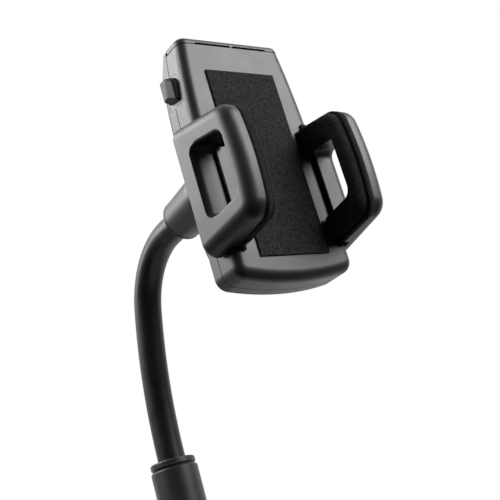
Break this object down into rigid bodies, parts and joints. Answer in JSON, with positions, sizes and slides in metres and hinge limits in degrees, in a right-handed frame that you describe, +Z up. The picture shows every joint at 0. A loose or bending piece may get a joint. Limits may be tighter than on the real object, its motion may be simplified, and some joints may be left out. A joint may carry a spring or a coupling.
{
  "type": "car phone holder",
  "caption": "Phone cradle with a felt front and geared padded side jaws, a release button, a ball joint, a bent gooseneck and a round stem to clamp.",
  "frame": {"origin": "centre of the stem's lower end face, on the stem's axis", "axes": "+Z up the stem, -Y towards the front of the cradle, +X to the right seen from behind the holder's back"},
  "size_m": [0.081, 0.1788, 0.2168],
  "materials": {
    "shell_plastic": "satin moulded",
    "jaw_plastic": "satin moulded",
    "arm_plastic": "satin moulded",
    "neck_rubber": "smooth satin",
    "felt": "short pile",
    "foam": "fine cell",
    "bare_steel": "turned",
    "spring_steel": "rolled",
    "screw_steel": "black coat",
    "gear_plastic": "moulded"
  },
  "bodies": {
    "arm": {"stem": "arm_plastic", "lower_ring": "arm_plastic", "neck_sleeve": "neck_rubber", "neck_core": "bare_steel", "upper_ring": "arm_plastic", "socket_head": "arm_plastic", "socket_cap": "arm_plastic", "seat_spring": "spring_steel"},
    "seat_rear": {"ball_seat_rear": "gear_plastic"},
    "seat_front": {"ball_seat_front": "gear_plastic"},
    "cradle": {"front_shell": "shell_plastic", "back_shell": "shell_plastic", "top_cap": "shell_plastic", "front_pad": "felt", "shell_screws": "screw_steel", "pinion_axle": "bare_steel", "opening_spring": "spring_steel", "button_spring": "spring_steel", "pawl_pin": "bare_steel", "pawl_spring": "spring_steel", "ball_stud": "bare_steel", "ball_stud_screws": "screw_steel"},
    "left_jaw": {"left_jaw": "jaw_plastic", "left_jaw_pad": "foam"},
    "right_jaw": {"right_jaw": "jaw_plastic", "right_jaw_pad": "foam"},
    "pinion": {"pinion": "gear_plastic"},
    "button": {"release_button": "shell_plastic"},
    "pawl": {"pawl": "gear_plastic"}
  },
  "joints": [
    {"name": "ball_tilt", "type": "hinge", "parent": "arm", "child": "seat_rear", "pos_m": [0, -0.09949, 0.16174], "axis": [1, 0, 0], "range_deg": [-20, 16]},
    {"name": "ball_pan", "type": "hinge", "parent": "seat_rear", "child": "seat_front", "pos_m": [0, -0.09949, 0.16174], "axis": [0, 0, 1], "range_deg": [-18, 18]},
    {"name": "cradle_spin", "type": "hinge", "parent": "seat_front", "child": "cradle", "pos_m": [0, -0.09949, 0.16174], "axis": [0, 1, 0], "continuous": true},
    {"name": "left_jaw_slide", "type": "slide", "parent": "cradle", "child": "left_jaw", "axis": [-1, 0, 0], "range_m": [0, 0.022], "deforming": ["opening_spring"]},
    {"name": "right_jaw_slide", "type": "slide", "parent": "cradle", "child": "right_jaw", "axis": [1, 0, 0], "range_m": [0, 0.022]},
    {"name": "pinion_turn", "type": "hinge", "parent": "cradle", "child": "pinion", "pos_m": [0, -0.13189, 0.14274], "axis": [0, -1, 0], "range_deg": [0, 160]},
    {"name": "button_press", "type": "slide", "parent": "cradle", "child": "button", "axis": [1, 0, 0], "range_m": [0, 0.003], "stiffness_N_per_m": 400, "deforming": ["button_spring", "pawl_spring"]},
    {"name": "pawl_lift", "type": "hinge", "parent": "cradle", "child": "pawl", "pos_m": [-0.017, -0.13189, 0.17574], "axis": [0, 1, 0], "range_deg": [0, 13.5]}
  ],
  "couplings": [
    {"joint": "right_jaw_slide", "follows": "left_jaw_slide", "ratio": 1},
    {"joint": "pinion_turn", "follows": "left_jaw_slide", "rad_per_m": 125},
    {"joint": "pawl_lift", "follows": "button_press", "rad_per_m": 76}
  ]
}
